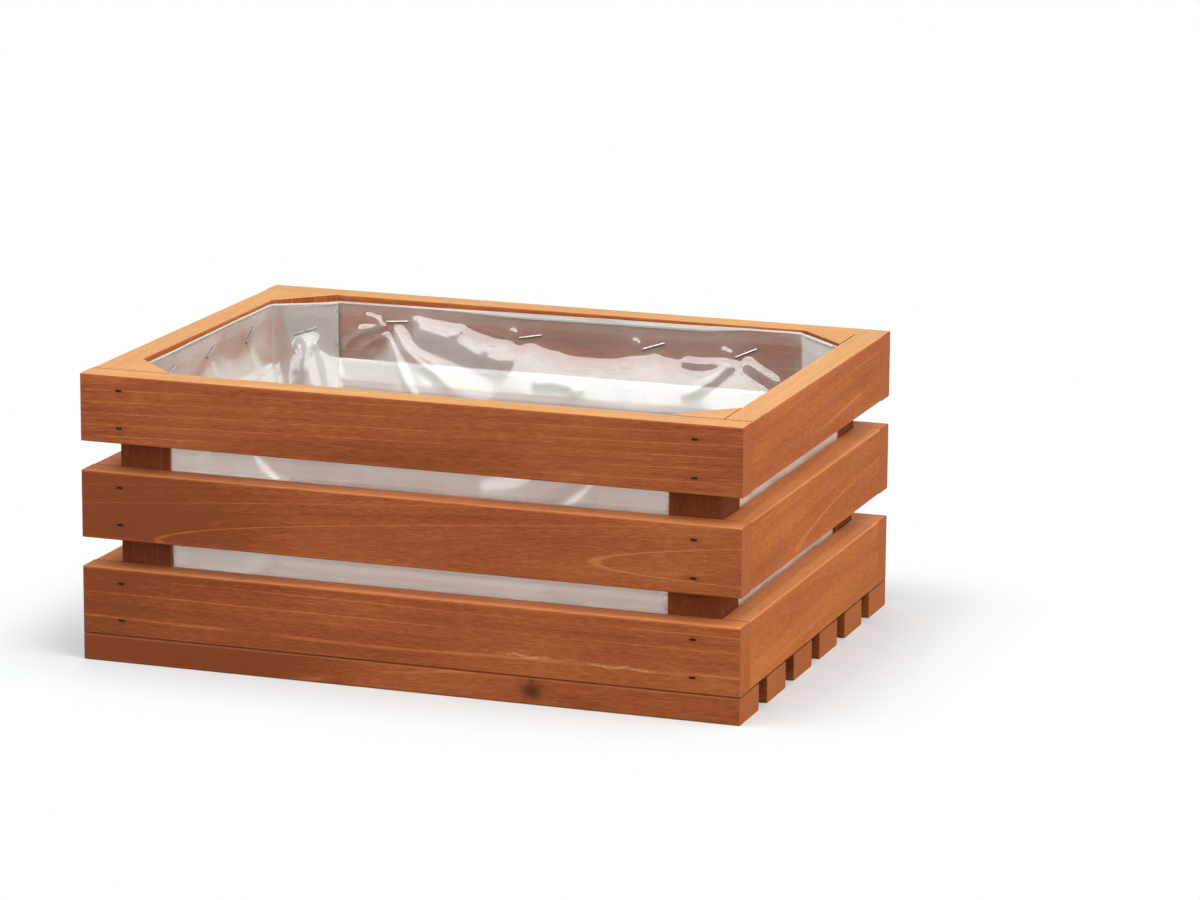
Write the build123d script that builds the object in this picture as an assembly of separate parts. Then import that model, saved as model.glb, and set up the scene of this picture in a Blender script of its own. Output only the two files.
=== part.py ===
from build123d import *
import math
import os

# Slatted planter crate with a film liner, in millimetres.
# The origin is the centre of the footprint, on the floor: X along the crate, Y to the back, Z up.

# Crate, outside
crate_length = 400.0
crate_depth = 288.0

# Wall slats, one per tier on each side
tiers = ("bottom", "middle", "top")
slat_width = 40.0
slat_thickness = 17.0
slat_gap = 17.0  # open gap between two tiers
slat_edge = 1.0  # rounding of the long edges
joint_gap = 0.2  # hairline where a side slat butts on a long slat

# Corner posts: right-angled triangles, with the right angle in the crate's corner
post_leg = 32.0
post_edge = 0.6  # flat along each upright edge

# Base slats, laid along the crate under the walls
base_count = 6
base_width = 35.0
base_thickness = 16.0
base_edge = 1.2

# Film liner: an open tub with its corners cut off by the posts
film_thickness = 0.4
film_clearance = 0.2  # from the film to the walls and the posts
film_drop = 3.0  # the film's edge below the rim

# Staples that hold the film, of flat wire
crown_length = 15.0
crown_bend = 0.4  # flat across each bend
staple_leg = 8.0
wire_width = 1.2
wire_thickness = 0.7

# A staple's place on the clear run of its face, from -1 to 1, its drop below the rim and its tilt
long_wall_staples = ((-0.74, 14.0, 5.0), (-0.16, 17.0, 11.0), (0.37, 17.0, 19.0), (0.76, 17.0, 25.0))
side_wall_staples = ((-0.6, 15.0, 18.0), (0.02, 14.0, 21.0), (0.64, 15.0, 30.0))
post_staples = ((0.0, 21.0, 13.0),)

# Brads, each with its head at the bottom of a pointed slot torn along the grain
shank_width = 1.4
shank_thickness = 1.2
head_width = 3.0
head_height = 1.2
head_sink = 0.9
head_slack = 0.2  # from the head to each side of the slot
slot_tear = 0.6  # the slot's point past each end of the head

# Where the brads are, and how far they bite into the second piece
left_inset = 24.0  # from the left end of a long slat
right_inset = 28.0  # from the right end of a long slat
long_spread = 11.0  # above and below the middle of the slat
long_bite = 12.0
side_inset = 12.0  # on a post, from the long wall's inner face
side_spread = 8.0
side_bite = 10.0
base_spread = 8.0  # each side of the middle of a base slat
base_bite = 10.0

# Worked out from the sizes above
wall_height = len(tiers) * slat_width + (len(tiers) - 1) * slat_gap
crate_height = base_thickness + wall_height
half_length = crate_length / 2
half_depth = crate_depth / 2
inner_half_length = half_length - slat_thickness
inner_half_depth = half_depth - slat_thickness
base_pitch = (crate_depth - base_width) / (base_count - 1)
film_standoff = film_clearance + film_thickness
slot_width = shank_thickness + 2 * head_slack
slanted_sink = head_sink + slot_width / 2  # under a post's slanted face
tier_heights = [base_thickness + slat_width / 2 + i * (slat_width + slat_gap) for i in range(len(tiers))]
base_rows = [-half_depth + base_width / 2 + i * base_pitch for i in range(base_count)]


def eased_slat(length, thickness, width, edge):
    # A slat along X, its thickness in Y and its width in Z, centred on the origin
    section = Plane.YZ * RectangleRounded(thickness, width, edge)
    return extrude(section, length / 2, both=True)


def long_slat(height, side):
    y = side * (half_depth - slat_thickness / 2)
    return Pos(0, y, height) * eased_slat(crate_length, slat_thickness, slat_width, slat_edge)


def side_slat(height, side):
    x = side * (half_length - slat_thickness / 2)
    slat = eased_slat(2 * (inner_half_depth - joint_gap), slat_thickness, slat_width, slat_edge)
    return Pos(x, 0, height) * Rot(0, 0, 90) * slat


def base_slat(y):
    return Pos(0, y, base_thickness / 2) * eased_slat(crate_length, base_width, base_thickness, base_edge)


def corner_post(side_x, side_y):
    # The triangle's legs lie on the inner faces of the two walls
    x = side_x * inner_half_length
    y = side_y * inner_half_depth
    corners = [(x, y), (x - side_x * post_leg, y), (x, y - side_y * post_leg)]
    section = make_face(Polyline(*corners, close=True))
    section = chamfer(section.vertices(), post_edge)
    return Pos(0, 0, base_thickness) * extrude(section, wall_height, dir=(0, 0, 1))


def film_plan(standoff):
    # The clear space between walls and posts, drawn in by the standoff
    room = Rectangle(2 * inner_half_length, 2 * inner_half_depth)
    room = chamfer(room.vertices(), post_leg)
    return offset(room, -standoff, kind=Kind.INTERSECTION)


def film_liner():
    height = wall_height - film_drop
    outside = extrude(film_plan(film_clearance), height, dir=(0, 0, 1))
    inside = extrude(film_plan(film_standoff), height, dir=(0, 0, 1))
    return Pos(0, 0, base_thickness) * (outside - Pos(0, 0, film_thickness) * inside)


def staple():
    # The crown lies along X with its underside at Z = 0, and the legs go down
    half = crown_length / 2
    inner = half - wire_thickness
    outside = [(-half, -staple_leg), (-half, wire_thickness), (half, wire_thickness), (half, -staple_leg)]
    inside = [(inner, -staple_leg), (inner, 0), (-inner, 0), (-inner, -staple_leg)]
    section = make_face(Polyline(*outside, *inside, close=True))
    section = chamfer(section.vertices().group_by(Axis.Y)[-1], crown_bend)
    return Rot(90, 0, 0) * extrude(section, wire_width / 2, both=True)


def liner_faces():
    # Each inner face: a point at its middle, its inward direction, half of its clear run, its staples
    long_run = inner_half_length - post_leg
    side_run = inner_half_depth - post_leg
    faces = []
    for side in (-1, 1):
        faces.append(((0, side * inner_half_depth), (0, -side), long_run, long_wall_staples))
        faces.append(((side * inner_half_length, 0), (-side, 0), side_run, side_wall_staples))
        for other in (-1, 1):
            middle = (side * (inner_half_length - post_leg / 2), other * (inner_half_depth - post_leg / 2))
            faces.append((middle, (-side, -other), post_leg / math.sqrt(2), post_staples))
    return faces


def film_staples():
    staples = []
    for middle, inward, run, places in liner_faces():
        inward = Vector(*inward, 0).normalized()
        right = Vector(0, 0, 1).cross(inward)  # to the right, seen from inside
        for share, drop, tilt in places:
            point = Vector(*middle, crate_height - drop) + right * (share * run)
            lean = math.radians(tilt)
            crown = right * math.cos(lean) + Vector(0, 0, math.sin(lean))
            seat = Plane(point + inward * film_standoff, x_dir=crown, z_dir=inward)
            staples.append(seat * staple())
    return staples


def brad(depth, sink):
    # Driven along -Z through a surface at Z = 0, with its tip at the depth
    shoulder = sink + head_height
    head = Pos(0, 0, -sink - head_height / 2) * Box(head_width, shank_thickness, head_height)
    shank = Pos(0, 0, -(shoulder + depth) / 2) * Box(shank_width, shank_thickness, depth - shoulder)
    return head + shank


def brad_bore(depth, sink):
    # What a brad leaves in the timber: the slot round its head and the room of its shank
    end = head_width / 2
    point = end + slot_tear
    side = slot_width / 2
    outline = [(-point, 0), (-end, -side), (end, -side), (point, 0), (end, side), (-end, side)]
    slot_depth = sink + head_height
    slot = extrude(make_face(Polyline(*outline, close=True)), slot_depth + slot_width, dir=(0, 0, 1))
    shank = Pos(0, 0, -(slot_depth + depth) / 2) * Box(shank_width, shank_thickness, depth - slot_depth)
    return Pos(0, 0, -slot_depth) * slot + shank


def long_wall_brads(side):
    # Through the long slats into the posts, the slots along the grain
    depth = slat_thickness + long_bite
    for height in tier_heights:
        for x in (-half_length + left_inset, half_length - right_inset):
            for z in (height - long_spread, height + long_spread):
                yield Plane((x, side * half_depth, z), x_dir=(1, 0, 0), z_dir=(0, side, 0)), depth, head_sink


def side_wall_brads(side):
    # From inside, through the slanted face of the posts into the side slats
    through_post = post_leg - side_inset
    x = side * (inner_half_length - through_post)
    for height in tier_heights:
        for y in (-inner_half_depth + side_inset, inner_half_depth - side_inset):
            for z in (height - side_spread, height + side_spread):
                seat = Plane((x, y, z), x_dir=(0, 0, 1), z_dir=(-side, 0, 0))
                yield seat, through_post + side_bite, slanted_sink


def base_brads():
    # From below, through the base slats into the walls
    depth = base_thickness + base_bite
    for row in base_rows:
        for x in (-half_length + slat_thickness / 2, half_length - slat_thickness / 2):
            for y in (row - base_spread, row + base_spread):
                yield Plane((x, y, 0), x_dir=(1, 0, 0), z_dir=(0, 0, -1)), depth, head_sink


def reaches(piece, tool):
    a = piece.bounding_box()
    b = tool.bounding_box()
    apart = (
        a.max.X < b.min.X, b.max.X < a.min.X,
        a.max.Y < b.min.Y, b.max.Y < a.min.Y,
        a.max.Z < b.min.Z, b.max.Z < a.min.Z,
    )
    return not any(apart)


def bored(piece, tools):
    near = [tool for tool in tools if reaches(piece, tool)]
    return piece - near if near else piece


timber = {}
for tier, height in zip(tiers, tier_heights):
    timber["front_slat_" + tier] = long_slat(height, -1)
    timber["back_slat_" + tier] = long_slat(height, 1)
    timber["left_slat_" + tier] = side_slat(height, -1)
    timber["right_slat_" + tier] = side_slat(height, 1)
for name_y, side_y in (("front", -1), ("back", 1)):
    for name_x, side_x in (("left", -1), ("right", 1)):
        timber["corner_post_" + name_y + "_" + name_x] = corner_post(side_x, side_y)
for number, row in enumerate(base_rows, start=1):
    timber["base_slat_" + str(number)] = base_slat(row)

brad_rows = {
    "front_brads": list(long_wall_brads(-1)),
    "back_brads": list(long_wall_brads(1)),
    "left_brads": list(side_wall_brads(-1)),
    "right_brads": list(side_wall_brads(1)),
    "base_brads": list(base_brads()),
}
staples = film_staples()
bores = [seat * brad_bore(depth, sink) for row in brad_rows.values() for seat, depth, sink in row]

nodes = {name: bored(piece, bores + staples) for name, piece in timber.items()}
nodes["film_liner"] = film_liner() - staples
nodes["film_staples"] = Compound(staples)
for name, row in brad_rows.items():
    nodes[name] = Compound([seat * brad(depth, sink) for seat, depth, sink in row])

os.makedirs("parts", exist_ok=True)
for name, piece in nodes.items():
    export_step(piece, "parts/" + name + ".step")
print(len(nodes), "nodes, crate height", crate_height)
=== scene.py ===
import math
import random

import bmesh
import bpy
from mathutils import Euler, Matrix, Vector, noise


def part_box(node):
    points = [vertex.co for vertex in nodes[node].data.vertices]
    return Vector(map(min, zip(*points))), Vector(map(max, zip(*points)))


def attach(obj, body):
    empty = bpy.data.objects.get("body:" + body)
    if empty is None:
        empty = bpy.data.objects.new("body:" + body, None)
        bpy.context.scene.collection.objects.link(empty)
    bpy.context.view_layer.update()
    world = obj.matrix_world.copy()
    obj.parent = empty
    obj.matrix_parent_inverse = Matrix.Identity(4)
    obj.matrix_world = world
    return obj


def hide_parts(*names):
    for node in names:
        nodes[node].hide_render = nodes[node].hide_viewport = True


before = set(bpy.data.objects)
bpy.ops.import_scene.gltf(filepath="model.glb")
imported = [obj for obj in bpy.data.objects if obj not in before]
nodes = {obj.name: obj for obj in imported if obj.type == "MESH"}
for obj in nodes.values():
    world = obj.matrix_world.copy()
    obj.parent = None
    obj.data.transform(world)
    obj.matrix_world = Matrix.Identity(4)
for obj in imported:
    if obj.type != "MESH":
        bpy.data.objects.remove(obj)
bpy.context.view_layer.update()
scene = bpy.context.scene
mm = 0.001
print("frame loaded:", len(nodes), "nodes")

scene.view_settings.view_transform = "Standard"


# camera, fitted to the corners of the crate
cameraLook = {
    "lens": 150.08, "sensor": 36, "azimuth": 19.364, "elevation": 12.804, "roll": 0.416,
    "distance": 2.9582, "aim": (0.0570, 0.0260, 0.1097), "clip": (0.05, 60),
}


def makeCamera(look):
    az, el, roll = (math.radians(look[k]) for k in ("azimuth", "elevation", "roll"))
    back = Vector((math.sin(az) * math.cos(el), -math.cos(az) * math.cos(el), math.sin(el)))
    right = Vector((0, 0, 1)).cross(back).normalized()
    up = back.cross(right)
    turned = right * math.cos(roll) + up * math.sin(roll)
    upright = up * math.cos(roll) - right * math.sin(roll)
    data = bpy.data.cameras.new("photoCamera")
    data.lens = look["lens"]
    data.sensor_width = look["sensor"]
    data.clip_start, data.clip_end = look["clip"]
    camera = bpy.data.objects.new("photoCamera", data)
    scene.collection.objects.link(camera)
    place = Matrix((turned, upright, back)).transposed().to_4x4()
    place.translation = Vector(look["aim"]) + back * look["distance"]
    camera.matrix_world = place
    scene.camera = camera


makeCamera(cameraLook)
print("camera placed")


# small helpers for node trees
class Tree:
    def __init__(self, tree):
        self.tree = tree
        tree.nodes.clear()

    def add(self, kind, **settings):
        node = self.tree.nodes.new(kind)
        for key, value in settings.items():
            setattr(node, key, value)
        return node

    def join(self, source, target):
        self.tree.links.new(source, target)

    def feed(self, socket, value):
        if isinstance(value, bpy.types.NodeSocket):
            self.join(value, socket)
        else:
            socket.default_value = value

    def math(self, operation, *values):
        node = self.add("ShaderNodeMath", operation=operation)
        for socket, value in zip(node.inputs, values):
            self.feed(socket, value)
        return node.outputs[0]

    def vector(self, operation, *values):
        node = self.add("ShaderNodeVectorMath", operation=operation)
        for socket, value in zip(node.inputs, values):
            self.feed(socket, value)
        return node.outputs["Value" if operation in ("LENGTH", "DOT_PRODUCT") else "Vector"]

    def split(self, vector):
        node = self.add("ShaderNodeSeparateXYZ")
        self.join(vector, node.inputs[0])
        return node.outputs

    def mapped(self, vector, location=(0, 0, 0), rotation=(0, 0, 0), scale=(1, 1, 1)):
        node = self.add("ShaderNodeMapping")
        self.join(vector, node.inputs["Vector"])
        node.inputs["Location"].default_value = location
        node.inputs["Rotation"].default_value = rotation
        node.inputs["Scale"].default_value = scale
        return node.outputs["Vector"]

    def noise(self, vector, scale=1.0, detail=2.0, roughness=0.5):
        node = self.add("ShaderNodeTexNoise")
        self.join(vector, node.inputs["Vector"])
        node.inputs["Scale"].default_value = scale
        node.inputs["Detail"].default_value = detail
        node.inputs["Roughness"].default_value = roughness
        return node.outputs["Fac"]

    def ranged(self, value, low, high, toLow=0.0, toHigh=1.0):
        node = self.add("ShaderNodeMapRange", interpolation_type="SMOOTHSTEP")
        self.join(value, node.inputs["Value"])
        for key, number in (("From Min", low), ("From Max", high), ("To Min", toLow), ("To Max", toHigh)):
            node.inputs[key].default_value = number
        return node.outputs["Result"]

    def fading(self, value, near, far, share=1.0):
        return self.ranged(value, near, far, share, 0.0)

    def apart(self, value, place):
        return self.math("ABSOLUTE", self.math("SUBTRACT", value, place))

    def ramp(self, value, stops):
        node = self.add("ShaderNodeValToRGB")
        self.join(value, node.inputs["Fac"])
        elements = node.color_ramp.elements
        while len(elements) < len(stops):
            elements.new(0.5)
        for element, (place, colour) in zip(elements, stops):
            element.position = place
            element.color = (*colour, 1)
        return node.outputs["Color"]

    def mixed(self, share, a, b, blend="MIX"):
        node = self.add("ShaderNodeMix", data_type="RGBA", blend_type=blend)
        self.feed(node.inputs[0], share)
        for socket, value in ((node.inputs[6], a), (node.inputs[7], b)):
            self.feed(socket, value if isinstance(value, bpy.types.NodeSocket) else (*value, 1))
        return node.outputs[2]

    def bumped(self, height, strength, distance):
        node = self.add("ShaderNodeBump")
        node.inputs["Strength"].default_value = strength
        node.inputs["Distance"].default_value = distance
        self.join(height, node.inputs["Height"])
        return node.outputs["Normal"]

    def blended(self, share, a, b):
        node = self.add("ShaderNodeMixShader")
        for socket, source in zip(node.inputs, (share, a, b)):
            self.join(source, socket)
        return node.outputs[0]

    def finish(self, surface, kind="Material"):
        self.join(surface, self.add("ShaderNodeOutput" + kind).inputs["Surface"])


def newMaterial(name):
    material = bpy.data.materials.new(name)
    material.use_nodes = True
    return material, Tree(material.node_tree)


def wear(piece, material):
    piece.data.materials.clear()
    piece.data.materials.append(material)


def newPiece(name, bm):
    mesh = bpy.data.meshes.new(name)
    bm.to_mesh(mesh)
    bm.free()
    piece = bpy.data.objects.new(name, mesh)
    scene.collection.objects.link(piece)
    return piece


def shadeSmooth(piece):
    for polygon in piece.data.polygons:
        polygon.use_smooth = True


# timber: short flecks and fibres, thin pale ring lines and blotches under the stain
timberLook = {
    "deep": (0.225, 0.050, 0.0125), "middle": (0.368, 0.095, 0.0262), "light": (0.520, 0.168, 0.0490),
    "tone": 0.5, "toneStops": (0.10, 0.50, 0.90), "dimTo": 0.02,
    "roughness": (0.52, 0.74), "roughSpan": (0.3, 0.7), "shine": 0.08,
    "bump": 0.10 * mm, "bumpStrength": 0.6, "bumpStreak": 0.6,
    # year rings, their late wood and the pale lines along them
    "ringWidth": 6.5 * mm, "ringWobble": 3.0 * mm, "ringWaves": (4, 16, 16),
    "lateSpan": (0.5, 0.98), "lateTone": -0.10,
    "lineWidth": 0.05, "lineTone": 0.45, "lineShow": (0.48, 0.62), "lineWaves": (9, 60, 60),
    # waves per metre of each pattern, along and across the grain, and its weight
    "fleck": ((170, 2000, 2000), 1.05), "fibre": ((46, 520, 520), 0.42),
    "streak": ((5, 130, 130), 0.35), "cloud": ((9, 30, 30), 0.60),
    # long edges rubbed thin and paler, partly a painted highlight, and painted shade in the seam over the
    # base
    "rubbedSheen": 0.30, "rubbedSheenFrom": 2.0 * mm, "rubbedSheenTo": 0.2 * mm, "rubbedSheenRagged": 2.2 * mm,
    "seamShade": (0.06, 0.017, 0.006), "seamFrom": 0.9 * mm, "seamTo": 0.3 * mm, "seamShare": 0.7,
    # sawn ends and narrow faces: their tone and how even it is; on the faces turned up or down this tone is
    # partly painted light, as on lit tops
    "sawnTurn": (0.55, 0.95),
    "endTone": (0.44, 0.120, 0.029), "endEven": 0.6, "topTone": (0.62, 0.215, 0.072), "topEven": 0.3,
    # knots and nails: a dark core with a ragged outline, as (from, to, share)
    "knotDark": (0.066, 0.017, 0.007), "knotWaves": 260, "knotRagged": 0.7,
    "knotCore": (0.55, 1.60, 0.88), "knotBend": 3.2, "knotLift": 1.1,
    "nailStain": (0.045, 0.016, 0.006), "nailLong": 2.3 * mm, "nailHigh": 0.9 * mm,
    "nailWaves": 700, "nailRagged": 1.4, "nailCore": (1.2, 2.0, 0.85), "nailHalo": (1.2, 4.2, 0.22),
}

grainTurn = {"x": (0, 0, 0), "y": (0, 0, -math.pi / 2), "z": (0, math.pi / 2, 0)}
patternPlace = {"fleck": (1, 8, 3), "fibre": (0, 0, 0), "streak": (3, 5, 7), "cloud": (9, 2, 4)}


def tornStreak(tree, torn, local, spot, face):
    # a streak torn along the grain that took the stain paler, clearest in two places
    along, across, upright = spot
    bend = tree.noise(tree.mapped(local, scale=torn["bendWaves"]), 1, 2)
    level = tree.math("MULTIPLY_ADD", along, torn["fall"], torn["rise"])
    level = tree.math("MULTIPLY_ADD", tree.math("SUBTRACT", bend, 0.5), torn["bend"], level)
    streak = tree.fading(tree.apart(upright, level), torn["core"], torn["high"])
    clear = [
        tree.ranged(tree.apart(along, x), reach * torn["clearCore"], reach, 1.0, torn["faint"])
        for x, reach in torn["clear"]
    ]
    ends = tree.fading(tree.apart(along, torn["middle"]), torn["reach"] * torn["endCore"], torn["reach"])
    ragged = tree.ranged(tree.noise(tree.mapped(local, scale=torn["raggedWaves"]), 1, 2), *torn["ragged"])
    front = tree.fading(across, face, face + torn["skin"])
    for share in (tree.math("MAXIMUM", *clear), ends, ragged, front):
        streak = tree.math("MULTIPLY", streak, share)
    return streak


def nailShade(tree, look, local, spot):
    # the stain is dark round each nail
    along, _, upright = spot
    reach = tree.math("MINIMUM", *(tree.apart(along, x) for x in look["nails"]))
    reach = tree.math("DIVIDE", reach, look["nailLong"])
    rise = tree.apart(tree.math("ABSOLUTE", upright), look["nailRise"])
    rise = tree.math("DIVIDE", rise, look["nailHigh"])
    away = tree.math("ADD", tree.math("POWER", reach, 2.0), tree.math("POWER", rise, 2.0))
    ragged = tree.noise(local, look["nailWaves"], 2)
    away = tree.math("MULTIPLY_ADD", ragged, look["nailRagged"], tree.math("SQRT", away))
    return tree.math("MAXIMUM", *(tree.fading(away, *look[key]) for key in ("nailCore", "nailHalo")))


def timberMaterial(name, grain, low, high, own):
    look = {**timberLook, **own}
    material, tree = newMaterial(name)
    centre = (Vector(low) + Vector(high)) / 2
    turn = Euler(grainTurn[grain]).to_matrix()
    half = [abs(n) for n in turn @ ((Vector(high) - Vector(low)) / 2)]
    coords = tree.add("ShaderNodeTexCoord").outputs
    local = tree.mapped(coords["Object"], -(turn @ centre), grainTurn[grain])
    log = tree.mapped(local, look["pith"], look["lean"])
    spot = tree.split(local)
    along, across, upright = spot

    # year rings: the distance from the pith, bent round the knots
    wobble = tree.noise(tree.mapped(log, scale=look["ringWaves"]), 1, 2, 0.45)
    radius = tree.vector("LENGTH", tree.vector("MULTIPLY", log, (0, 1, 1)))
    radius = tree.math("MULTIPLY_ADD", wobble, look["ringWobble"], radius)
    knotCores = []
    for place, size in look.get("knots", ()):
        knot = tree.mapped(local, [-p / s for p, s in zip(place, size)], scale=[1 / s for s in size])
        ragged = tree.noise(local, look["knotWaves"], 2)
        away = tree.math("MULTIPLY_ADD", ragged, look["knotRagged"], tree.vector("LENGTH", knot))
        bent = tree.fading(away, 0.0, look["knotBend"])
        radius = tree.math("MULTIPLY_ADD", bent, size[2] * look["knotLift"], radius)
        knotCores.append(tree.fading(away, *look["knotCore"]))
    ring = tree.math("FRACT", tree.math("DIVIDE", radius, look["ringWidth"]))
    line = tree.fading(tree.apart(ring, 0.5), 0.0, look["lineWidth"])
    shown = tree.ranged(tree.noise(tree.mapped(log, scale=look["lineWaves"])), *look["lineShow"])
    line = tree.math("MULTIPLY", line, shown)

    # the stain's tone, from deep at 0 to light at 1
    pattern = {}
    tone = tree.math("MULTIPLY_ADD", line, look["lineTone"], look["tone"])
    tone = tree.math("MULTIPLY_ADD", tree.ranged(ring, *look["lateSpan"]), look["lateTone"], tone)
    for key, place in patternPlace.items():
        waves, weight = look[key]
        pattern[key] = tree.noise(tree.mapped(log, place, scale=waves), 1, 2, 0.55)
        tone = tree.math("MULTIPLY_ADD", tree.math("SUBTRACT", pattern[key], 0.5), weight, tone)
    if "dimEnd" in look:
        tone = tree.math("SUBTRACT", tone, tree.fading(along, -half[0], look["dimTo"], look["dimEnd"]))
    stops = zip(look["toneStops"], ("deep", "middle", "light"))
    colour = tree.ramp(tone, [(place, look[key]) for place, key in stops])

    # rubbed thin along the long edges: paler wear that also stands in as a painted highlight along them
    nearEdge = []
    for axis in (1, 2):
        ragged = tree.math("SUBTRACT", pattern["fibre"], 0.5)
        reach = tree.math("MULTIPLY_ADD", ragged, look["rubbedSheenRagged"], tree.math("ABSOLUTE", spot[axis]))
        nearEdge.append(tree.ranged(reach, half[axis] - look["rubbedSheenFrom"], half[axis] - look["rubbedSheenTo"]))
    rubbedSheen = tree.math("MULTIPLY", *nearEdge)
    colour = tree.mixed(tree.math("MULTIPLY", rubbedSheen, look["rubbedSheen"]), colour, look["light"])

    # narrow sawn faces and ends take the stain paler; on the faces turned up or down the paler tone is also
    # painted light, as where light falls on the tops
    normal = tree.split(coords["Normal"])
    for axis, key in {"Z": "top", grain.upper(): "end"}.items():
        gain = [wanted / plain for wanted, plain in zip(look[key + "Tone"], look["middle"])]
        sawn = tree.mixed(1.0, colour, gain, "MULTIPLY")
        sawn = tree.mixed(look[key + "Even"], sawn, look[key + "Tone"])
        facing = tree.ranged(tree.math("ABSOLUTE", normal[axis]), *look["sawnTurn"])
        colour = tree.mixed(facing, colour, sawn)

    if "slantGain" in look:
        # the inner face of a post, lifted out of the painted shade given to the posts' other faces
        place = tree.vector("DOT_PRODUCT", tree.vector("ABSOLUTE", coords["Object"]), (1, 1, 0))
        onTop = tree.ranged(tree.math("ABSOLUTE", normal["Z"]), *look["sawnTurn"])
        inner = tree.fading(place, *look["slantPlace"])
        inner = tree.math("MULTIPLY", inner, tree.math("SUBTRACT", 1.0, onTop))
        colour = tree.mixed(inner, colour, tree.mixed(1.0, colour, look["slantGain"], "MULTIPLY"))
    if "seam" in look:
        # painted shade in the seam between the base and the walls
        rise = tree.math("MULTIPLY", upright, look["seam"])
        deep = tree.ranged(rise, half[2] - look["seamFrom"], half[2] - look["seamTo"], 0.0, look["seamShare"])
        colour = tree.mixed(deep, colour, look["seamShade"])
    for core in knotCores:
        colour = tree.mixed(core, colour, look["knotDark"])
    if "torn" in look:
        streak = tornStreak(tree, look["torn"], local, spot, -half[1])
        colour = tree.mixed(streak, colour, look["torn"]["pale"])
    if "nails" in look:
        colour = tree.mixed(nailShade(tree, look, local, spot), colour, look["nailStain"])

    shader = tree.add("ShaderNodeBsdfPrincipled")
    tree.join(colour, shader.inputs["Base Color"])
    rough = tree.ranged(pattern["fibre"], *look["roughSpan"], *look["roughness"])
    tree.join(rough, shader.inputs["Roughness"])
    shader.inputs["Specular IOR Level"].default_value = look["shine"]
    height = tree.math("MULTIPLY_ADD", pattern["streak"], look["bumpStreak"], pattern["fibre"])
    tree.join(tree.bumped(height, look["bumpStrength"], look["bump"]), shader.inputs["Normal"])
    tree.finish(shader.outputs["BSDF"])
    return material


# how the slats in view were cut and stained: the pith's place and lean with the grain along X, the tone
slatCuts = {
    "front_slat_top": {
        "pith": (0.1, 25 * mm, 55 * mm), "lean": (0, 0.03, 0.004), "lineShow": (0.42, 0.56), "tone": 0.38,
    },
    "front_slat_middle": {
        "pith": (0.0, 40.0 * mm, 11.4 * mm), "lean": (0, 0.044, -0.024), "ringWobble": 1.0 * mm,
        "lineWidth": 0.022, "lineShow": (0.2, 0.3), "lineTone": 0.6, "tone": 0.50, "dimEnd": 0.56,
    },
    "front_slat_bottom": {
        "pith": (0.4, 35.6 * mm, 16 * mm), "lean": (0, 0.0, 0.0), "lineShow": (0.30, 0.42),
        "tone": 0.46, "dimEnd": 0.36,
        "torn": {
            "middle": 0.111, "reach": 0.064, "endCore": 0.8, "rise": -6.3 * mm, "fall": -0.0223,
            "core": 0.1 * mm, "high": 1.4 * mm, "bend": 4.6 * mm, "bendWaves": (85, 0, 0),
            "clear": ((0.074, 0.016), (0.131, 0.026)), "clearCore": 0.4, "faint": 0.35,
            "ragged": (0.36, 0.56, 0.25, 0.85), "raggedWaves": (260, 1400, 1400),
            "pale": (0.66, 0.31, 0.135), "skin": 1.0 * mm,
        },
    },
    "base_slat_1": {
        "tone": 0.47, "dimEnd": 1.0,
        "knots": (((0.077, -17.5 * mm, 0.5 * mm), (7.4 * mm, 15 * mm, 7.0 * mm)),),
    },
    "right_slat_top": {"tone": 0.53},
    "right_slat_middle": {"tone": 0.54},
    "right_slat_bottom": {"tone": 0.66},
}

# the other slats and the posts: ranges for the pith in metres and mm, for its lean and for the tone
logCuts = {
    "seed": 4, "pithAlong": (-3, 3), "pithAside": (26, 60), "pithUp": (-22, 22),
    "leanUp": 0.012, "leanAside": 0.03, "tone": (0.44, 0.56),
}

# stain of the posts, the long walls, the side walls and the rim: the posts darker as painted shade, the side
# walls lighter and the rim's tops paler as painted light
stainLook = {
    "post": {
        # painted shade: the posts are stained darker, as if in the shade between the slats; their ends and
        # tops are paler as painted light
        "deep": (0.077, 0.015, 0.0024), "middle": (0.148, 0.030, 0.0048), "light": (0.25, 0.058, 0.011),
        "endTone": (0.63, 0.308, 0.118), "topTone": (0.63, 0.308, 0.118), "endEven": 0.7, "topEven": 0.7,
        "slantGain": (2.45, 3.1, 4.3), "slantPlace": (0.2786, 0.2790),
    },
    "long": {"nails": (-0.176, 0.172), "nailRise": 11 * mm},
    # painted light: the side walls are stained lighter and yellower, as on the better lit right side
    "side": {"deep": (0.29, 0.062, 0.0115), "middle": (0.465, 0.118, 0.0240), "light": (0.62, 0.20, 0.046)},
    # the rim's top faces paler still: painted light, as on tops lit from above
    "rim": {"topTone": (0.630, 0.314, 0.121), "topEven": 0.6},
}


def dressTimber(stains, cuts):
    rng = random.Random(cuts["seed"])
    for name in sorted(nodes):
        isPost, isBase = "post" in name, name.startswith("base_slat")
        if not (isPost or "_slat_" in name):
            continue
        isSide = name.startswith(("left", "right"))
        side = rng.choice((-1, 1))
        own = {
            "pith": (
                rng.uniform(*cuts["pithAlong"]),
                side * rng.uniform(*cuts["pithAside"]) * mm,
                rng.uniform(*cuts["pithUp"]) * mm,
            ),
            "lean": (0, *(rng.uniform(-cuts[key], cuts[key]) for key in ("leanUp", "leanAside"))),
            "tone": rng.uniform(*cuts["tone"]),
        }
        if isPost:
            own.update(stains["post"])
        elif isBase:
            own["seam"] = 1.0
        else:
            own.update(stains["side" if isSide else "long"])
            if name.endswith("top"):
                own.update(stains["rim"])
            if name.endswith("bottom"):
                own["seam"] = -1.0
        own.update(slatCuts.get(name, {}))
        grain = "z" if isPost else "y" if isSide else "x"
        wear(nodes[name], timberMaterial(name + "_stain", grain, *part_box(name), own))


dressTimber(stainLook, logCuts)
print("timber dressed")


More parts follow.
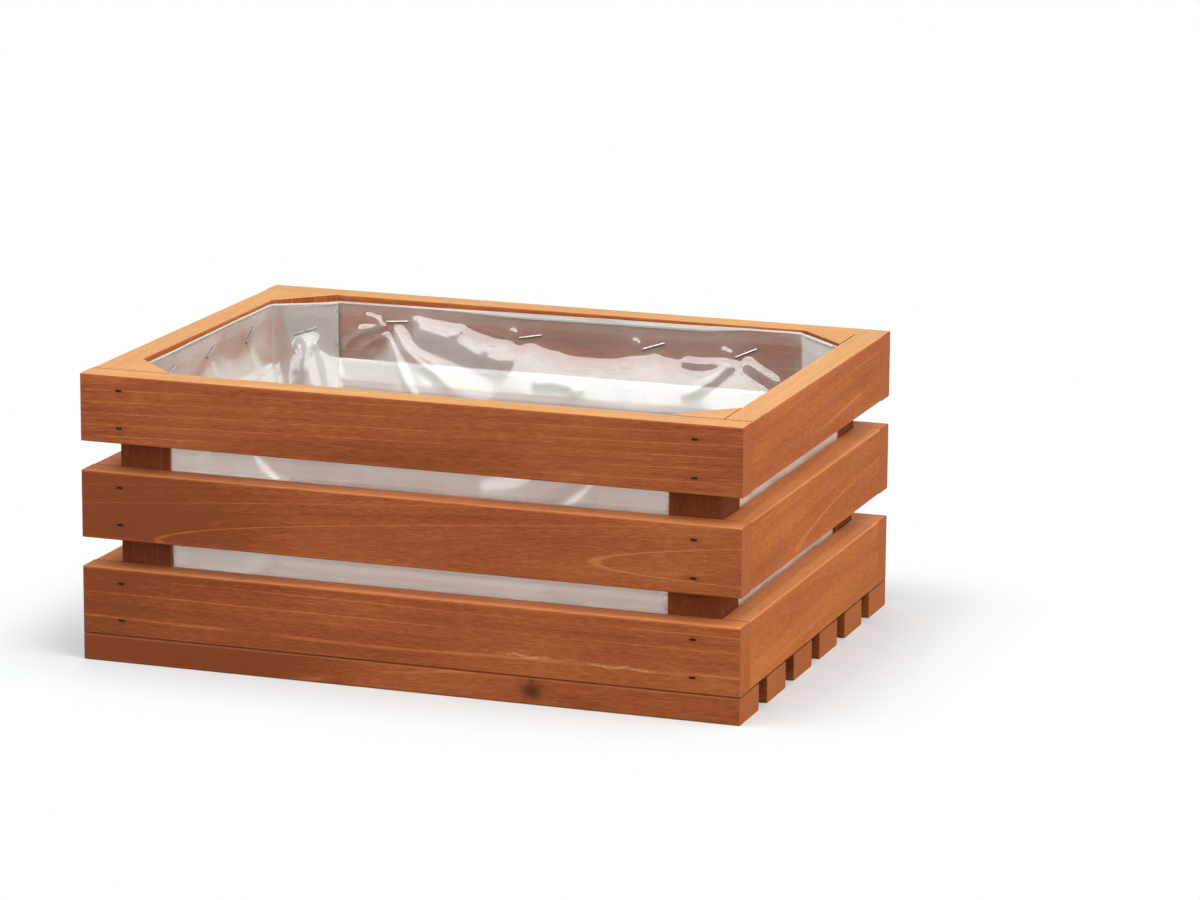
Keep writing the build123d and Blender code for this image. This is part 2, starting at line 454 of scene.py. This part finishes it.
# bright wire of the staples, dull heads of the brads
steelLook = {
    "staple": {
        "colour": (0.50, 0.49, 0.48), "dark": (0.30, 0.29, 0.28), "roughness": (0.24, 0.38),
        "metal": 1.0, "shine": 0.5, "under": (0.030, 0.027, 0.024), "underTurn": (-0.55, 0.15),
        "round": 0.30 * mm, "roundSteps": 3, "merge": 0.001 * mm, "flatTurn": 2, "sharpTurn": 20,
    },
    "brad": {
        "colour": (0.060, 0.028, 0.014), "dark": (0.022, 0.009, 0.005), "roughness": (0.7, 0.85),
        "metal": 0.0, "shine": 0.05,
    },
}
scuffLook = {"waves": 900, "darkTo": 0.35, "brightFrom": 0.6, "roughSpan": (0.3, 0.7)}


def steelMaterial(name, look, scuffs):
    material, tree = newMaterial(name)
    coords = tree.add("ShaderNodeTexCoord").outputs
    scuff = tree.noise(coords["Object"], scuffs["waves"], 3, 0.6)
    shader = tree.add("ShaderNodeBsdfPrincipled")
    colour = tree.ramp(scuff, [(scuffs["darkTo"], look["dark"]), (scuffs["brightFrom"], look["colour"])])
    if "under" in look:
        # painted shade on the underside of the wire, where it meets the film
        below = tree.fading(tree.split(coords["Normal"])["Z"], *look["underTurn"])
        colour = tree.mixed(below, colour, look["under"])
    tree.join(colour, shader.inputs["Base Color"])
    tree.join(tree.ranged(scuff, *scuffs["roughSpan"], *look["roughness"]), shader.inputs["Roughness"])
    shader.inputs["Metallic"].default_value = look["metal"]
    shader.inputs["Specular IOR Level"].default_value = look["shine"]
    tree.finish(shader.outputs["BSDF"])
    return material


def makeStaples(look):
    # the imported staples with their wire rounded
    bm = bmesh.new()
    bm.from_mesh(nodes["film_staples"].data)
    bmesh.ops.remove_doubles(bm, verts=bm.verts, dist=look["merge"])
    bmesh.ops.dissolve_limit(bm, angle_limit=math.radians(look["flatTurn"]), verts=bm.verts, edges=bm.edges)
    sharp = [edge for edge in bm.edges if edge.calc_face_angle(0) > math.radians(look["sharpTurn"])]
    bmesh.ops.bevel(
        bm, geom=sharp, offset=look["round"], segments=look["roundSteps"], profile=0.5,
        affect="EDGES", material=-1, clamp_overlap=True,
    )
    staples = newPiece("stapleWire", bm)
    shadeSmooth(staples)
    wear(staples, steelMaterial("staple_wire", look, scuffLook))
    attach(staples, "root")
    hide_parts("film_staples")
    return staples


staples = makeStaples(steelLook["staple"])
bradSteel = steelMaterial("brad_head", steelLook["brad"], scuffLook)
for name in nodes:
    if name.endswith("_brads"):
        wear(nodes[name], bradSteel)
print("steel dressed")


# film liner: a bag with a knife pleat at each post, stapled under the rim and slack below
filmLook = {
    # the room between the walls and the posts, and the gaps between the slats
    "halfLength": 183 * mm, "halfDepth": 127 * mm, "postLeg": 32 * mm, "rim": 170 * mm, "floor": 16 * mm,
    "gaps": (56 * mm, 113 * mm), "gapHigh": 17 * mm, "basePitch": 50.6 * mm, "baseGap": 15.6 * mm,
    # the sheet and its mesh
    "gauge": 0.22 * mm, "standoff": 0.35 * mm, "columns": 372, "wallRows": 46, "floorRings": 12,
    "mergeWall": 0.03 * mm, "mergeAll": 0.05 * mm,
    # knife pleats: the corner that each crease is near and its step past it in mm, narrower further down
    "creases": ((1, 1.0), (3, -1.5), (5, -1.5), (7, -1.5)),
    "pleatWidth": 40 * mm, "pleatTaper": 0.38, "pleatFrom": 15 * mm, "pleatLeast": 1.5 * mm,
    "pleatGap": 0.7 * mm, "pleatEase": 14 * mm,
    # slack between the staples, and the swell below them
    "sag": 0.31, "cornerSag": 1.15, "underCrown": 3.5 * mm, "looseRun": 36 * mm,
    "bulge": 13.0 * mm, "bulgeRun": 66 * mm, "bulgePower": 1.4, "tightShare": 0.85,
    # ripples: height, waves per metre across and up, seed, and the least noise that counts
    "tightRipple": (1.5 * mm, 62, 24, 21, -0.2), "wideRipple": (1.8 * mm, 34, 7, 3, -0.5),
    "fineRipple": (0.4 * mm, 110, 26, 9, -1.0), "lipRipple": (1.2, 30, 1, 5, -1.0),
    "lipRun": 9 * mm, "lipLean": 0.7 * mm, "foldFade": (60 * mm, 110 * mm),
    # flat round a crown, as half of its length and the reach of the pinch
    "crownHalf": 7.5 * mm, "crownReach": 30 * mm, "pinch": (1.2 * mm, 8 * mm),
    # the round foot and the floor
    "footRadius": 20 * mm, "baseSag": 1.3 * mm, "floorWave": 1.6 * mm, "floorWaves": 26, "floorSeed": 4,
    # the cut edge turned in: wider along the middle of the back wall
    "hem": 3.4 * mm, "hemGap": 0.45 * mm, "hemBand": 12 * mm, "hemRun": 1.02, "hemSides": 0.3,
    "hemEnds": 0.35, "hemFrom": (-90 * mm, -20 * mm), "hemTo": (85 * mm, 120 * mm),
    # how far off the timber counts as hanging, over a post and past a slat's edge
    "hangs": (0.2 * mm, 3.4 * mm), "postBridge": 2.0 * mm, "gapEase": 2.0 * mm,
}

# the cut edge under the rim: way round the walls and drop, in mm
cutDrops = (
    (0, 3.4), (190, 1.5), (236, 4.2), (537, 1.3), (582, 1.6),
    (772, 2.0), (818, 0.8), (1119, 0.7), (1166, 3.4),
)

# staples of a face: share of its clear half run, drop below the rim in mm, tilt in degrees
faceStaples = {
    "side": ((-0.6, 15, 18), (0.02, 14, 21), (0.64, 15, 30)),
    "post": ((0.0, 21, 13),),
    "long": ((-0.74, 14, 5), (-0.16, 17, 11), (0.37, 17, 19), (0.76, 17, 25)),
}

# folds that fan out from a crown: ranges of angle (-90 is down), length, width and height, in degrees and mm
fanFolds = {
    "wall": ((-150, -30), (25, 60), (4, 7), (0.6, 1.8)),
    "post": ((-112, -68), (45, 80), (3, 5), (1.4, 2.8)),
    "seed": 11, "count": 4, "reach": 110 * mm, "startWidth": 0.3, "rise": 0.18, "fall": 0.8,
}

# folds of the back wall as lines of (x, depth below the rim), with their width and height, all in mm
backFolds = (
    ((
        (-140, 39), (-134, 30.6), (-127, 25.8), (-120.5, 23.6), (-116.8, 25.5),
        (-111, 35.5), (-105, 47), (-98, 58), (-92, 72),
    ), 2.2, 1.25),
    (((-115, 17), (-110, 22), (-105, 29.7), (-97, 36), (-84, 43), (-70, 56)), 3.2, 2.0),
    (((-119, 16), (-124, 18.2), (-136, 21.5), (-146, 29), (-150, 37)), 2.8, 1.5),
    (((-121, 14.5), (-128, 13.0), (-135, 11.4)), 2.3, 0.9),
    (((-104, 13), (-99, 12), (-95, 13)), 2.2, 0.8),
    (((-106, 16), (-90, 19.5), (-74, 23.5), (-58, 28.5), (-42, 32), (-33, 36)), 7.5, 3.2),
    (((-76, 20), (-71, 17.5), (-67, 14)), 2.0, 0.9),
    (((-56, 27), (-44, 25.5), (-34, 23.5)), 2.2, 0.9),
    (((-31, 18), (-34, 16), (-38, 13)), 2.0, 0.8),
    (((48, 19), (45.5, 16.5), (42, 13)), 2.0, 0.8),
    (((107, 19.5), (103, 17.5), (98, 15.5)), 2.0, 0.8),
    (((72, 25), (86, 25.6), (98, 24.6), (106, 22.6)), 2.6, 1.1),
    (((109.5, 22), (102, 27.6), (94.6, 34.6), (86, 40), (76, 48)), 3.0, 1.9),
    (((112, 21), (118.6, 24.8), (125, 29), (132, 32.5), (139, 38)), 3.2, 1.6),
    (((-22, 45), (-8, 43), (5, 45), (9, 52)), 4.0, 1.8),
)

# where those folds go, on the back wall and calmer on the front, and the finer mesh for them
foldLook = {
    "ends": (0.15, 0.8), "frontShare": 0.75, "deepest": 78, "inset": 30 * mm, "clear": (0.8 * mm, 3.5 * mm),
    "fineHigh": 64 * mm, "fineNear": 26 * mm, "finePast": 2 * mm, "fineCuts": {1: 3, -1: 1}, "fineRound": 0.6,
    "smoothing": 2, "smoothBelow": 8 * mm, "smoothHalf": 0.15,
}


def smoothStep(low, high, value):
    t = min(1.0, max(0.0, (value - low) / (high - low)))
    return t * t * (3 - 2 * t)


def fanOut(rng, ranges, count):
    return [tuple(rng.uniform(*span) for span in ranges) for _ in range(count)]


class FilmPlan:
    # the run round the walls: s starts on the left wall at the front, goes to the back and on round
    def __init__(self, look, fan):
        self.look = look
        self.fan = fan
        x, y, leg = look["halfLength"], look["halfDepth"], look["postLeg"]
        corners = [Vector(p) for p in (
            (-x, leg - y), (-x, y - leg), (leg - x, y), (x - leg, y),
            (x, y - leg), (x, leg - y), (x - leg, -y), (leg - x, -y),
        )]
        self.sides = list(zip(corners, corners[1:] + corners[:1]))
        self.starts = [0.0]
        self.inward = []
        for a, b in self.sides:
            run = (b - a).normalized()
            self.starts.append(self.starts[-1] + (b - a).length)
            self.inward.append(Vector((run.y, -run.x)))
        self.around = self.starts[-1]
        both = [self.inward[i - 1] + self.inward[i] for i in range(8)]
        self.mitres = [v * (2 / v.length_squared) for v in both]
        self.creases = [self.starts[i + 1] + step * mm for i, step in look["creases"]]
        self.staples = self.placeStaples()

    def placeStaples(self):
        rng = random.Random(self.fan["seed"])
        found = []
        for i, kind in enumerate(("side", "post", "long", "post") * 2):
            length = self.starts[i + 1] - self.starts[i]
            for share, drop, tilt in faceStaples[kind]:
                folds = fanOut(rng, self.fan["wall"], self.fan["count"])
                if kind == "post":
                    folds = fanOut(rng, self.fan["post"], self.fan["count"])
                place = self.starts[i] + length * (1 + share) / 2
                height = self.look["rim"] - drop * mm
                found.append((place, height, () if kind == "long" else folds, math.radians(tilt), i))
        return found

    def point(self, s, inset):
        s %= self.around
        i = next((i for i in range(8) if s <= self.starts[i + 1]), 7)
        t = (s - self.starts[i]) / (self.starts[i + 1] - self.starts[i])
        a, b = self.sides[i]
        return (a + self.mitres[i] * inset).lerp(b + self.mitres[(i + 1) % 8] * inset, t)

    def off(self, s, place):
        return (s - place + self.around / 2) % self.around - self.around / 2

    def hangLine(self, s):
        # height at which the film leaves the wall: up at the staples, slack between, lower round a corner
        s %= self.around
        after = next((i for i, row in enumerate(self.staples) if row[0] >= s), 0)
        a, b = self.staples[after - 1], self.staples[after]
        span = self.off(b[0], a[0])
        t = self.off(s, a[0]) / span
        sag = self.look["sag" if a[4] == b[4] else "cornerSag"]
        return a[1] + (b[1] - a[1]) * t - self.look["underCrown"] - sag * span * t * (1 - t)

    def folds(self, s, z):
        fan, rise = self.fan, 0.0
        for place, height, folds, *_ in self.staples:
            across, up = self.off(s, place), z - height
            if math.hypot(across, up) > fan["reach"]:
                continue
            for angle, length, width, tall in folds:
                c, n = math.cos(math.radians(angle)), math.sin(math.radians(angle))
                t = (across * c + up * n) / (length * mm)
                if 0 < t < 1:
                    wide = width * mm * (fan["startWidth"] + (1 - fan["startWidth"]) * t)
                    side = (up * c - across * n) / wide
                    shape = min(1, t / fan["rise"]) * (1 - t) ** fan["fall"]
                    rise += tall * mm * shape * math.exp(-side * side)
        return rise

    def fromCrown(self, s, z):
        # distance to the nearest staple's crown
        near, least = self.look["crownReach"], 1.0
        for place, height, _, tilt, _ in self.staples:
            across, up = self.off(s, place), z - height
            if abs(across) < near and abs(up) < near:
                along = across * math.cos(tilt) + up * math.sin(tilt)
                aside = up * math.cos(tilt) - across * math.sin(tilt)
                least = min(least, math.hypot(max(0.0, abs(along) - self.look["crownHalf"]), aside))
        return least

    def tight(self, s):
        # 1 on the right and front walls, where the film lies close to the slats, 0 on the other two
        s %= self.around
        start, end = self.starts[3:5], self.starts[7:9]
        return smoothStep(*start, s) * (1 - smoothStep(*end, s))

    def cutEdge(self, s):
        s = (s % self.around) / mm
        a, b = next((a, b) for a, b in zip(cutDrops, cutDrops[1:]) if s <= b[0])
        return (a[1] + (b[1] - a[1]) * (s - a[0]) / (b[0] - a[0])) * mm

    def ripple(self, key, s, z):
        # noise that closes on itself round the walls
        height, across, up, seed, least = self.look[key]
        turn = 2 * math.pi * s / self.around
        reach = self.around / (2 * math.pi) * across
        spot = Vector((math.cos(turn) * reach, math.sin(turn) * reach, z * up + seed))
        return height * max(least, noise.noise(spot))


def filmRuns(plan):
    # the sheet's own length: on to a crease, back, and on again under itself, at each post
    width = plan.look["pleatWidth"]
    runs, at = [], plan.creases[-1] - plan.around
    for crease in plan.creases:
        runs.append((False, at, crease, crease - at + width))
        runs.append((True, crease, crease, width))
        at = crease
    return runs


def filmPoint(plan, runs, u, down):
    # place of a spot of the sheet: u along its length, down from the cut edge to the floor
    look = plan.look
    rest = u * sum(run[3] for run in runs)
    for folded, a, b, length in runs:
        if rest <= length + 1e-9:
            break
        rest -= length
    share = min(1.0, rest / length)
    floor, radius = look["floor"] + look["gauge"], look["footRadius"]
    top = look["rim"] - plan.cutEdge(b if folded else a + (b - a) * share)
    straight = top - floor - radius
    way = down * (straight + radius * math.pi / 2)
    z, foot = top - way, 0.0
    if way > straight:
        angle = (way - straight) / radius
        z, foot = floor + radius * (1 - math.sin(angle)), radius * (1 - math.cos(angle))

    # across: doubled back at a pleat, with room for the layers under it
    depth = look["rim"] - z
    narrower = look["pleatTaper"] * max(0.0, depth - look["pleatFrom"])
    pleat = max(look["pleatLeast"], look["pleatWidth"] - narrower)
    if folded:
        s = b - pleat * share
        layer = look["pleatGap"] * (2 - share)
    else:
        s = a - pleat + (b - a + pleat) * share
        layer = look["pleatGap"] * 2 * smoothStep(b - pleat - look["pleatEase"], b - pleat, s)

    # out from the wall: the swell, the ripples and the folds, but flat at the crowns
    below = max(0.0, plan.hangLine(s) - z)
    loose = smoothStep(0, look["looseRun"], below)
    tight = plan.tight(s)
    swell = look["bulge"] * (1 - max(0.0, 1 - below / look["bulgeRun"]) ** look["bulgePower"])
    swell *= 1 - look["tightShare"] * tight
    inset = look["standoff"] + layer + foot + swell
    inset += tight * loose * plan.ripple("tightRipple", s, z)
    inset += plan.folds(s, z) * (1 - smoothStep(*look["foldFade"], depth))
    inset += loose * (plan.ripple("wideRipple", s, z) + plan.ripple("fineRipple", s, z))
    lip = 1 - smoothStep(0, look["lipRun"], way)
    inset += lip * look["lipLean"] * (1 + plan.ripple("lipRipple", s, z))
    pinched = smoothStep(*look["pinch"], plan.fromCrown(s, z))
    inset = look["standoff"] + max(0.0, inset - look["standoff"]) * pinched
    place = plan.point(s, inset)
    return Vector((place.x, place.y, z))


def makeFilm(look, fan):
    plan = FilmPlan(look, fan)
    runs = filmRuns(plan)
    bm = bmesh.new()
    bm.loops.layers.uv.new("filmRun")
    grid = {"x_segments": look["columns"], "y_segments": look["wallRows"]}
    bmesh.ops.create_grid(bm, **grid, size=0.5, calc_uvs=True)
    for vert in bm.verts:
        u, down = vert.co.x + 0.5, 0.5 - vert.co.y
        vert.co = filmPoint(plan, runs, u, down)
    bmesh.ops.remove_doubles(bm, verts=bm.verts, dist=look["mergeWall"])
    return newPiece("filmBag", bm), plan


def lineFold(line, width, height, ends, x, depth):
    # height of a fold at a spot: a rounded ridge along its line, fading to both ends
    nearest, at = 1e9, 0.0
    for i, ((ax, az), (bx, bz)) in enumerate(zip(line, line[1:])):
        dx, dz = bx - ax, bz - az
        t = min(1.0, max(0.0, ((x - ax) * dx + (depth - az) * dz) / (dx * dx + dz * dz)))
        away = math.hypot(x - ax - dx * t, depth - az - dz * t)
        if away < nearest:
            nearest, at = away, (i + t) / (len(line) - 1)
    faded = smoothStep(0, ends[0], at) * (1 - smoothStep(ends[1], 1, at))
    return height * faded * math.exp(-(nearest / width) ** 2)


def foldLongWalls(bm, plan, fold):
    # the front wall has a calmer, mirrored set: its staples stand the same way round
    look = plan.look
    limit = look["halfLength"] - look["postLeg"]
    for vert in bm.verts:
        side = 1 if vert.co.y > 0 else -1
        x, depth = side * vert.co.x / mm, (look["rim"] - vert.co.z) / mm
        inset = look["halfDepth"] - side * vert.co.y
        if abs(vert.co.x) > limit or depth > fold["deepest"] or inset > fold["inset"]:
            continue
        share = 1.0 if side == 1 else fold["frontShare"]
        rise = sum(lineFold(*line, fold["ends"], x, depth * share) for line in backFolds) * share
        s = plan.starts[2 if side == 1 else 6] + limit + side * vert.co.x
        vert.co.y -= side * rise * mm * smoothStep(*fold["clear"], plan.fromCrown(s, vert.co.z))


def refineFilm(bm, look, fold):
    # smaller faces where the folds are small: the upper part of the back and front walls
    high = look["rim"] - fold["fineHigh"]
    near = look["halfDepth"] - fold["fineNear"]
    limit = look["halfLength"] - look["postLeg"] + fold["finePast"]
    for side, cuts in fold["fineCuts"].items():
        fine = [
            face for face in bm.faces
            if all(v.co.z > high and v.co.y * side > near and abs(v.co.x) < limit for v in face.verts)
        ]
        edges = list({edge for face in fine for edge in face.edges})
        bmesh.ops.subdivide_edges(bm, edges=edges, cuts=cuts, smooth=fold["fineRound"], use_grid_fill=True)


def smoothBack(bm, look, fold):
    near = look["halfDepth"] - fold["fineNear"]
    low = look["rim"] - fold["smoothBelow"]
    fine = [v for v in bm.verts if v.co.y > near and v.co.z < low and abs(v.co.x) < fold["smoothHalf"]]
    for step in range(fold["smoothing"]):
        bmesh.ops.smooth_vert(bm, verts=fine, factor=0.5, use_axis_y=True)


def keepInside(bm, plan):
    # nothing nearer to a wall or a post than the standoff
    for vert in bm.verts:
        for (a, b), inward in zip(plan.sides, plan.inward):
            short = plan.look["standoff"] - (vert.co.xy - a).dot(inward)
            if short > 0:
                vert.co.xy += inward * short


def newParts(made, kind):
    return [part for part in made["geom"] if isinstance(part, kind)]


def filmFloor(look, x, y):
    # the film dips a little between the base slats
    pitch, waves = look["basePitch"], look["floorWaves"]
    y = (y + pitch / 2 + pitch * 8) % pitch - pitch / 2
    dip = max(0.0, 1 - (y / (look["baseGap"] / 2)) ** 2)
    wave = noise.noise(Vector((x * waves, y * waves, look["floorSeed"])))
    return look["floor"] + look["gauge"] - dip * look["baseSag"] + max(0.0, wave) * look["floorWave"]


def layFloor(bm, look):
    # carries the foot of the film over the floor to the middle, ring by ring
    high = look["floor"] + look["footRadius"]
    ring = [e for e in bm.edges if e.is_boundary and max(v.co.z for v in e.verts) < high]
    rings = look["floorRings"]
    for step in range(1, rings + 1):
        made = bmesh.ops.extrude_edge_only(bm, edges=ring)
        ring = newParts(made, bmesh.types.BMEdge)
        keep = (rings - step) / (rings - step + 1)
        for vert in newParts(made, bmesh.types.BMVert):
            vert.co.xy *= keep
            vert.co.z = filmFloor(look, vert.co.x, vert.co.y)


def hemEdge(bm, plan):
    look = plan.look
    low = look["rim"] - look["hemBand"]
    edge = [e for e in bm.edges if e.is_boundary and min(v.co.z for v in e.verts) > low]
    made = bmesh.ops.extrude_edge_only(bm, edges=edge)
    uv = bm.loops.layers.uv["filmRun"]
    for vert in newParts(made, bmesh.types.BMVert):
        side = min(range(8), key=lambda i: (vert.co.xy - plan.sides[i][0]).dot(plan.inward[i]))
        middle = smoothStep(*look["hemFrom"], vert.co.x) * (1 - smoothStep(*look["hemTo"], vert.co.x))
        wide = look["hemEnds"] + (1 - look["hemEnds"]) * middle
        vert.co.xy += plan.inward[side] * look["hemGap"]
        vert.co.z -= look["hem"] * (wide if side == 2 else look["hemSides"])
        for loop in vert.link_loops:
            loop[uv].uv.y = look["hemRun"]


def offTimber(plan, spot):
    # 0 where the film lies on timber, 0.5 where it hangs off it, 1 where it spans a gap between two slats
    look = plan.look
    depths = [(spot.xy - a).dot(inward) for (a, b), inward in zip(plan.sides, plan.inward)]
    side = depths.index(min(depths))
    away = depths[side] - look["standoff"]
    inGap = 0.0
    if side % 2:
        away = max(away, look["postBridge"])
    else:
        inGap = max(min(spot.z - low, low + look["gapHigh"] - spot.z) for low in look["gaps"])
    rise = spot.z - look["floor"] - look["gauge"] - look["floorWave"]
    return max(0.5 * smoothStep(*look["hangs"], min(away, rise)), smoothStep(0, look["gapEase"], inGap))


def finishFilm(film, plan, fold):
    look = plan.look
    bm = bmesh.new()
    bm.from_mesh(film.data)
    refineFilm(bm, look, fold)
    foldLongWalls(bm, plan, fold)
    smoothBack(bm, look, fold)
    keepInside(bm, plan)
    layFloor(bm, look)
    hemEdge(bm, plan)
    bmesh.ops.remove_doubles(bm, verts=bm.verts, dist=look["mergeAll"])
    bmesh.ops.recalc_face_normals(bm, faces=bm.faces)
    off = bm.verts.layers.float.new("offTimber")
    for vert in bm.verts:
        vert[off] = offTimber(plan, vert.co)
    bm.to_mesh(film.data)
    bm.free()
    shadeSmooth(film)
    shell = film.modifiers.new("filmGauge", "SOLIDIFY")
    shell.thickness = look["gauge"]
    shell.offset = 0


# share of light let through at each surface: on the timber, off it, over a gap, and along the cut edge
filmSkin = {
    "passed": 0.905, "passedOff": 0.68, "passedGap": 0.48, "passedTop": 0.86,
    "milk": (0.87, 0.848, 0.825), "milkRoughness": 0.2, "roughness": 0.07, "shine": 0.05, "slantLeast": 0.2,
    "crinkleWaves": 140, "bump": 0.2 * mm, "bumpStrength": 0.2,
    "hazeWaves": 22, "hazeSpan": (0.3, 0.7), "hazeShare": 0.03,
    # stripes on the floor: their share, how far they pass each gap's side, and the height they fade over
    "stripe": 0.42, "stripeIn": 2.4 * mm, "stripeOut": 0.4 * mm, "stripeFade": (2 * mm, 6 * mm),
    # along the sheet, 1 at its cut edge: the top band, the white edge and the whiter hem
    "topBand": (0.955, 0.968), "topRagged": 0.04,
    "whiteEdge": (0.990, 0.998, 0.0, 0.30), "whiteHem": (1.008, 1.016, 0.0, 0.65),
}


def filmMaterial(look, lay):
    material, tree = newMaterial("clear_film_skin")
    coords = tree.add("ShaderNodeTexCoord").outputs
    crinkle = tree.noise(coords["Object"], look["crinkleWaves"], 3, 0.55)
    haze = tree.noise(coords["Object"], look["hazeWaves"], 3, 0.55)
    normal = tree.bumped(crinkle, look["bumpStrength"], look["bump"])
    clear = tree.add("ShaderNodeBsdfTransparent")
    mirror = tree.add("ShaderNodeBsdfGlossy")
    mirror.inputs["Roughness"].default_value = look["roughness"]
    tree.join(normal, mirror.inputs["Normal"])
    # a thin film shines alike from both sides: more at a slant
    weight = tree.add("ShaderNodeLayerWeight")
    weight.inputs["Blend"].default_value = 0.5
    tree.join(normal, weight.inputs["Normal"])
    slant = weight.outputs["Facing"]
    shine = tree.math("MULTIPLY_ADD", tree.math("POWER", slant, 5.0), 1 - look["shine"], look["shine"])
    skin = tree.blended(shine, clear.outputs[0], mirror.outputs[0])
    milk = tree.add("ShaderNodeBsdfPrincipled")
    milk.inputs["Base Color"].default_value = (*look["milk"], 1)
    milk.inputs["Roughness"].default_value = look["milkRoughness"]
    tree.join(normal, milk.inputs["Normal"])

    # on the floor it is milky in stripes, over the gaps between the base slats
    spot, run = tree.split(coords["Object"]), tree.split(coords["UV"])
    off = tree.add("ShaderNodeAttribute", attribute_name="offTimber").outputs["Fac"]
    fromGap = tree.math("PINGPONG", spot["Y"], lay["basePitch"] / 2)
    half = lay["baseGap"] / 2
    stripe = tree.fading(fromGap, half - look["stripeIn"], half + look["stripeOut"], look["stripe"])
    low = tree.fading(spot["Z"], *(lay["floor"] + rise for rise in look["stripeFade"]))
    off = tree.math("MAXIMUM", off, tree.math("MULTIPLY", stripe, low))

    # the longer the way through the film, the milkier it is
    stops = ((0.0, "passed"), (0.5, "passedOff"), (1.0, "passedGap"))
    base = tree.ramp(off, [(place, (look[key],) * 3) for place, key in stops])
    upper = tree.ranged(tree.math("MULTIPLY_ADD", haze, look["topRagged"], run["Y"]), *look["topBand"])
    base = tree.math("MULTIPLY_ADD", upper, look["passedTop"] - look["passed"], base)
    hazy = tree.ranged(haze, *look["hazeSpan"], look["hazeShare"], -look["hazeShare"])
    passed = tree.math("ADD", base, hazy)
    straight = tree.math("MAXIMUM", tree.math("SUBTRACT", 1.0, slant), look["slantLeast"])
    passed = tree.math("POWER", passed, tree.math("DIVIDE", 1.0, straight))
    edge = tree.math("MAXIMUM", *(tree.ranged(run["Y"], *look[key]) for key in ("whiteEdge", "whiteHem")))
    share = tree.math("MAXIMUM", tree.math("SUBTRACT", 1.0, passed), edge)
    tree.finish(tree.blended(share, skin, milk.outputs[0]))
    return material


film, filmPlan = makeFilm(filmLook, fanFolds)
print("film bag laid in:", len(film.data.polygons), "faces")
finishFilm(film, filmPlan, foldLook)
wear(film, filmMaterial(filmSkin, filmLook))
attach(film, "root")
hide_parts("film_liner")
print("film liner made:", len(film.data.polygons), "faces")


# stage: white floor that keeps the shadow, soft studio light
stageLook = {
    "floorSize": 14.0, "floorShown": (0.77, 0.825, 0.865), "floorBounce": 0.20,
    "footprint": (0.2, 0.144, 0.0), "fade": (0.010, 0.105), "fill": 0.33,
}


def whiteRays(tree):
    path = tree.add("ShaderNodeLightPath").outputs
    shown = tree.math("MAXIMUM", path["Is Camera Ray"], path["Is Glossy Ray"])
    return tree.math("MAXIMUM", shown, path["Is Transmission Ray"])


def makeFloor(look):
    bm = bmesh.new()
    bmesh.ops.create_grid(bm, x_segments=2, y_segments=2, size=look["floorSize"])
    floor = newPiece("studioFloor", bm)
    material, tree = newMaterial("pale_floor")
    shown = whiteRays(tree)
    tone = tree.mixed(shown, (look["floorBounce"],) * 3, look["floorShown"])
    matt = tree.add("ShaderNodeBsdfDiffuse")
    tree.join(tone, matt.inputs["Color"])
    white = tree.add("ShaderNodeEmission")
    coords = tree.add("ShaderNodeTexCoord").outputs["Object"]
    past = tree.vector("SUBTRACT", tree.vector("ABSOLUTE", coords), look["footprint"])
    away = tree.vector("LENGTH", tree.vector("MAXIMUM", past, (0, 0, 0)))
    far = tree.math("MULTIPLY", tree.ranged(away, *look["fade"]), shown)
    tree.finish(tree.blended(far, matt.outputs[0], white.outputs[0]))
    wear(floor, material)


def makeWorld(look):
    world = bpy.data.worlds.new("studioAir")
    world.use_nodes = True
    scene.world = world
    tree = Tree(world.node_tree)
    air = tree.add("ShaderNodeBackground")
    air.inputs["Color"].default_value = (1, 1, 1, 1)
    tree.join(tree.ranged(whiteRays(tree), 0, 1, look["fill"], 1.0), air.inputs["Strength"])
    tree.finish(air.outputs[0], "World")


# soft boxes light the faces, cards show in gloss alone: place, size, radiance and colour of each
softBoxes = {
    "overhead": ((1.30, -0.35, 2.00), (2.2, 2.2), 2.3, (1.0, 0.98, 0.94)),
    "leftHigh": ((-1.40, -0.60, 1.70), (1.4, 1.4), 2.4, (1.0, 0.99, 0.96)),
    "frontHigh": ((-0.70, -1.50, 1.70), (2.2, 1.4), 1.0, (1.0, 1.0, 1.0)),
    "frontLow": ((-0.50, -2.10, 0.60), (2.2, 0.8), 2.5, (1.0, 1.0, 1.0)),
    "rightSoft": ((2.20, -0.50, 0.90), (2.0, 1.4), 2.2, (1.0, 0.96, 0.80)),
    "backSoft": ((-0.90, 2.20, 1.10), (2.4, 1.6), 1.3, (1.0, 0.98, 0.95)),
}
sheenCards = {
    "frontSheen": ((-1.00, -2.20, 1.40), (6.4, 2.8), 4.8, (1.0, 0.985, 0.96)),
    "rightSheen": ((2.40, -0.40, 1.30), (2.2, 2.2), 3.9, (1.0, 1.0, 1.0)),
    "backSheen": ((1.30, 2.20, 1.20), (2.6, 2.0), 2.8, (1.0, 0.99, 0.97)),
}
lampAim = (0, 0, 0.1)


def makeLamp(name, at, size, radiance, colour, inGloss):
    data = bpy.data.lights.new(name, "AREA")
    data.shape = "RECTANGLE"
    data.size, data.size_y = size
    data.color = colour
    data.energy = radiance * math.pi * size[0] * size[1]
    lamp = bpy.data.objects.new(name, data)
    scene.collection.objects.link(lamp)
    lamp.location = at
    lamp.rotation_euler = (Vector(lampAim) - Vector(at)).to_track_quat("-Z", "Y").to_euler()
    lamp.visible_camera = False
    lamp.visible_diffuse = not inGloss
    lamp.visible_glossy = inGloss


makeFloor(stageLook)
makeWorld(stageLook)
for name, look in softBoxes.items():
    makeLamp(name, *look, inGloss=False)
for name, look in sheenCards.items():
    makeLamp(name, *look, inGloss=True)
print("stage lit")
